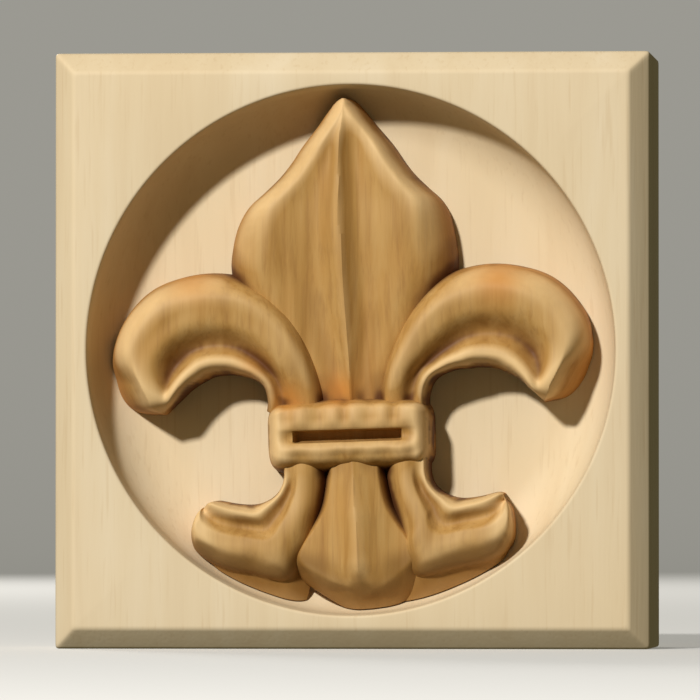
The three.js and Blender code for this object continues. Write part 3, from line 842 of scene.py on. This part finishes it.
class Finish:
    """A material under construction: each method adds one node, wires it and gives back its output."""

    def __init__(self, name, roughness):
        self.material = bpy.data.materials.new(name)
        self.material.use_nodes = True
        self.tree = self.material.node_tree
        self.shader = self.tree.nodes["Principled BSDF"]
        self.shader.inputs["Roughness"].default_value = roughness
        self.place = self.tree.nodes.new("ShaderNodeTexCoord").outputs["Object"]

    def put(self, socket, value):
        if isinstance(value, bpy.types.NodeSocket):
            self.tree.links.new(value, socket)
        else:
            socket.default_value = value

    def stored(self, name):
        node = self.tree.nodes.new("ShaderNodeAttribute")
        node.attribute_name = name
        return node.outputs["Fac"]

    def stretched(self, scale):
        node = self.tree.nodes.new("ShaderNodeMapping")
        self.put(node.inputs["Vector"], self.place)
        node.inputs["Scale"].default_value = scale
        return node.outputs["Vector"]

    def noise(self, vector, scale, detail, roughness, distortion=0.0):
        node = self.tree.nodes.new("ShaderNodeTexNoise")
        self.put(node.inputs["Vector"], vector)
        node.inputs["Scale"].default_value = scale
        node.inputs["Detail"].default_value = detail
        node.inputs["Roughness"].default_value = roughness
        node.inputs["Distortion"].default_value = distortion
        return node.outputs["Fac"]

    def ramp(self, value, *stops):
        node = self.tree.nodes.new("ShaderNodeValToRGB")
        self.put(node.inputs["Fac"], value)
        while len(node.color_ramp.elements) < len(stops):
            node.color_ramp.elements.new(0.5)
        for element, (position, tint) in zip(node.color_ramp.elements, stops):
            element.position = position
            element.color = tint if isinstance(tint, tuple) else (tint, tint, tint, 1)
        return node.outputs["Color"]

    def mix(self, amount, first, second):
        node = self.tree.nodes.new("ShaderNodeMix")
        node.data_type = "RGBA"
        self.put(node.inputs["Factor"], amount)
        self.put(node.inputs["A"], first)
        self.put(node.inputs["B"], second)
        return node.outputs["Result"]

    def times(self, first, second):
        node = self.tree.nodes.new("ShaderNodeMath")
        node.operation = "MULTIPLY"
        self.put(node.inputs[0], first)
        self.put(node.inputs[1], second)
        return node.outputs[0]

    def bump(self, height, distance, strength):
        node = self.tree.nodes.new("ShaderNodeBump")
        node.inputs["Strength"].default_value = strength
        node.inputs["Distance"].default_value = distance
        self.put(node.inputs["Height"], height)
        self.put(self.shader.inputs["Normal"], node.outputs["Normal"])


print("pale maple as a linear colour:", [round(float(v), 3) for v in colour(222, 200, 163)])

# %% The toned wood of the ornament
WOOD_SPECULAR = 0.3
TONED_ROUGHNESS = 0.62
STREAK_COLOURS = (0.25, colour(162, 117, 55)), (0.5, colour(187, 143, 79)), (0.75, colour(199, 159, 97))
CLOUD_COLOUR = colour(190, 140, 72)
PORE_COLOUR = colour(140, 96, 50)
WEAR_AND_HIGHLIGHT_COLOUR = colour(238, 202, 146)
FOOT_SHADE_COLOUR = colour(178, 118, 56)
SCORCH_COLOUR = colour(206, 136, 58)
HOLLOW_TONE_AND_SHADE_COLOUR = colour(122, 82, 38)
SKIRT_SHADE_COLOUR = colour(132, 94, 42)
CREASE_SHADE_COLOUR = colour(88, 46, 18)

toned = Finish("honey_toned_wood", TONED_ROUGHNESS)
streaks = toned.noise(toned.stretched((1, 1, 0.07)), scale=420, detail=4, roughness=0.55, distortion=0.4)
fine = toned.noise(toned.stretched((1, 1, 0.04)), scale=1500, detail=3, roughness=0.6)
clouds = toned.noise(toned.place, scale=95, detail=2, roughness=0.5)
honey = toned.ramp(streaks, *STREAK_COLOURS)
honey = toned.mix(toned.ramp(clouds, (0.45, 0.0), (0.7, 0.4)), honey, CLOUD_COLOUR)
honey = toned.mix(toned.ramp(fine, (0.3, 0.3), (0.5, 0.0)), honey, PORE_COLOUR)
# Pale wear on the crests, strengthened into a painted highlight: the proud wood is painted lighter.
wear_and_highlight = toned.ramp(toned.stored("crest"), (0.15, 0.0), (0.8, 0.75))
honey = toned.mix(wear_and_highlight, honey, WEAR_AND_HIGHLIGHT_COLOUR)
# Painted shade at the foot of the walls: the lower the wood, the deeper its orange brown.
foot_shade = toned.ramp(toned.stored("height"), (0.2, 0.6), (0.7, 0.0))
honey = toned.mix(foot_shade, honey, FOOT_SHADE_COLOUR)
honey = toned.mix(toned.stored("scorch"), honey, SCORCH_COLOUR)
# Toning left in the hollows, deepened with painted shade: the deeper the hollow, the darker.
hollow_tone_and_shade = toned.ramp(toned.stored("hollow"), (0.08, 0.0), (0.35, 0.3), (0.7, 0.55))
honey = toned.mix(hollow_tone_and_shade, honey, HOLLOW_TONE_AND_SHADE_COLOUR)
# Painted shade on the skirts.
honey = toned.mix(toned.times(toned.stored("skirt"), 0.75), honey, SKIRT_SHADE_COLOUR)
# Painted shade in the creases between the lobes.
honey = toned.mix(toned.stored("crease"), honey, CREASE_SHADE_COLOUR)
toned.put(toned.shader.inputs["Base Color"], honey)
toned.shader.inputs["Specular IOR Level"].default_value = WOOD_SPECULAR
toned.bump(toned.mix(0.35, streaks, fine), distance=0.12 * MM, strength=0.6)
ornament.data.materials.append(toned.material)
print("nodes in the toned wood:", len(toned.tree.nodes))

# %% [markdown]
# ## Bare maple
# Sanded maple is pale and even. A soft upright figure shows in it, with sparse fine pores that also run
# upright, and slow patches make some places a little warmer. On the end grain at the top the same
# noises show as small clouds, because they are cut across there.

# %% The bare maple of the block
MAPLE_ROUGHNESS = 0.65
FIGURE_COLOURS = (0.3, colour(220, 197, 160)), (0.5, colour(226, 205, 169)), (0.72, colour(230, 211, 178))
PATCH_COLOUR = colour(222, 198, 157)
MAPLE_PORE_COLOUR = colour(198, 168, 124)

maple = Finish("pale_maple", MAPLE_ROUGHNESS)
figure = maple.noise(maple.stretched((1, 1, 0.11)), scale=130, detail=4, roughness=0.55, distortion=0.6)
pores = maple.noise(maple.stretched((1, 1, 0.05)), scale=1700, detail=2, roughness=0.5)
patches = maple.noise(maple.place, scale=34, detail=2, roughness=0.5)
pale = maple.ramp(figure, *FIGURE_COLOURS)
pale = maple.mix(maple.ramp(patches, (0.4, 0.0), (0.75, 0.45)), pale, PATCH_COLOUR)
pale = maple.mix(maple.ramp(pores, (0.28, 0.22), (0.42, 0.0)), pale, MAPLE_PORE_COLOUR)
maple.shader.inputs["Specular IOR Level"].default_value = WOOD_SPECULAR
maple.put(maple.shader.inputs["Base Color"], pale)
maple.bump(maple.mix(0.5, figure, pores), distance=0.08 * MM, strength=0.5)
block.data.materials.append(maple.material)
print("nodes in the maple:", len(maple.tree.nodes))

# %% [markdown]
# ## Standing in for the frame's solids
# The two carved pieces take the place of the two plain solids and ride with the one body that
# the part has.

# %% Replace the plain solids
STAND_INS = (
    (block, "rosette_block", "pale_maple"),
    (ornament, "fleur_de_lis", "honey_toned_wood"),
)
for piece, node, finish in STAND_INS:
    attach(piece, "root")
    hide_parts(node)
    print(piece.name, "stands for", node)

# %% [markdown]
# ## Floor, backdrop, light and camera
# The photograph has one lamp, up and to the left, soft enough to blur the shadow of the rim by
# about a millimetre, and a weak warm fill from all round. A small round lamp does the first job, and
# the world's colour does the second. A second, larger lamp behind lights the back for the other views.
# The camera stands a little to the right and a hair low, and looks at the middle of the face.
#
# The floor is a wide bowl: flat under the block, then bent up into a wall all round, so every view has a
# plain backdrop. It is kept out of the block's own light and reflections, so that it can be pale
# without brightening the block from below, and it gives off a little light of its own.

# %% Floor and backdrop
FLAT_RADIUS, BEND_RADIUS, WALL_TOP = 2.4, 0.8, 3.0


def turned_bowl(name):
    """A floor that runs out flat, bends up through a quarter circle and ends as an upright wall, turned
    round the upright axis: radius and height along the profile, in metres, against the angle."""
    bend = np.linspace(0, math.pi / 2, 14)[1:]
    flat, wall_radius = np.linspace(0.05, FLAT_RADIUS, 14), FLAT_RADIUS + BEND_RADIUS
    radius = np.concatenate([flat, FLAT_RADIUS + BEND_RADIUS * np.sin(bend), np.full(4, wall_radius)])
    wall_up = np.linspace(1.2, WALL_TOP, 4)
    up = np.concatenate([0 * flat, BEND_RADIUS - BEND_RADIUS * np.cos(bend), wall_up])
    around = np.linspace(0, 2 * math.pi, 72, endpoint=False)[None, :]
    radius, up = radius[:, None], up[:, None] + 0 * around
    grid = np.stack([radius * np.cos(around), radius * np.sin(around), up], axis=-1)
    rows, columns = grid.shape[:2]
    number = np.arange(rows * columns).reshape(rows, columns)
    after = np.roll(number, -1, axis=1)
    faces = np.stack([number[:-1], number[1:], after[1:], after[:-1]], axis=-1).reshape(-1, 4).tolist()
    mesh = bpy.data.meshes.new(name)
    mesh.from_pydata(grid.reshape(-1, 3).tolist(), [], [number[0].tolist()] + faces)
    mesh.shade_smooth()
    bowl = bpy.data.objects.new(name, mesh)
    bpy.context.scene.collection.objects.link(bowl)
    return bowl


PAPER = {
    "Base Color": (0.62, 0.61, 0.59, 1),
    "Roughness": 1.0,
    "Specular IOR Level": 0.0,
    "Emission Color": (1.0, 0.985, 0.95, 1),
    "Emission Strength": 0.2,
}
bowl = turned_bowl("floor_bowl")
paper = bpy.data.materials.new("pale_paper")
paper.use_nodes = True
for socket, value in PAPER.items():
    paper.node_tree.nodes["Principled BSDF"].inputs[socket].default_value = value
bowl.data.materials.append(paper)
bowl.visible_diffuse = False
bowl.visible_glossy = False
print("bowl faces:", len(bowl.data.polygons))

# %% Lamps and fill
LAMP_COLOUR = (1.0, 0.985, 0.96)


def disc_lamp(name, direction, distance, size, brightness):
    """A round lamp that shines on the middle of the block from a direction. Its power grows with the
    square of the distance, so the same number gives the same light on the wood."""
    towards = Vector(direction).normalized()
    data = bpy.data.lights.new(name, "AREA")
    data.shape = "DISK"
    data.size = size
    data.energy = brightness * math.pi * distance**2
    data.color = LAMP_COLOUR
    lamp = bpy.data.objects.new(name, data)
    lamp.location = MIDDLE + towards * distance
    lamp.rotation_euler = towards.to_track_quat("Z", "Y").to_euler()
    bpy.context.scene.collection.objects.link(lamp)
    return lamp


MIDDLE = Vector((0, FACE_Y * MM, MIDDLE_Z * MM))
KEY_DIRECTION, BACK_DIRECTION = (-0.349, -0.806, 0.476), (-0.42, 0.8, 0.42)
key = disc_lamp("key_lamp", KEY_DIRECTION, distance=1.6, size=0.13, brightness=3.45)
back = disc_lamp("back_lamp", BACK_DIRECTION, distance=1.8, size=0.5, brightness=1.3)

FILL_COLOUR, FILL_STRENGTH = (0.94, 0.91, 0.58, 1), 0.105
world = bpy.data.worlds.new("soft_fill")
world.use_nodes = True
world.node_tree.nodes["Background"].inputs["Color"].default_value = FILL_COLOUR
world.node_tree.nodes["Background"].inputs["Strength"].default_value = FILL_STRENGTH
bpy.context.scene.world = world
bpy.context.scene.view_settings.view_transform = "Standard"
print("lamp powers in watts:", round(key.data.energy, 1), round(back.data.energy, 1))

# %% [markdown]
# The photograph was taken from far off with a long lens: only a sliver of the right side shows. The
# width that the camera sees at the block's face is given, and the lens follows from it and the distance.

# %% Camera
CAMERA_DISTANCE = 1.31
CAMERA_RIGHT = math.radians(5.0)
CAMERA_DROP = 0.02
FIELD_WIDTH = 0.104
SENSOR = 36
camera_data = bpy.data.cameras.new("camera")
camera_data.sensor_width = SENSOR
camera_data.lens = SENSOR * CAMERA_DISTANCE / FIELD_WIDTH
camera = bpy.data.objects.new("camera", camera_data)
away = Vector((math.sin(CAMERA_RIGHT), -math.cos(CAMERA_RIGHT), -CAMERA_DROP))
camera.location = MIDDLE + CAMERA_DISTANCE * away
camera.rotation_mode = "QUATERNION"
camera.rotation_quaternion = (camera.location - MIDDLE).to_track_quat("Z", "Y")
bpy.context.scene.collection.objects.link(camera)
bpy.context.scene.camera = camera
print("lens in mm:", round(camera_data.lens))
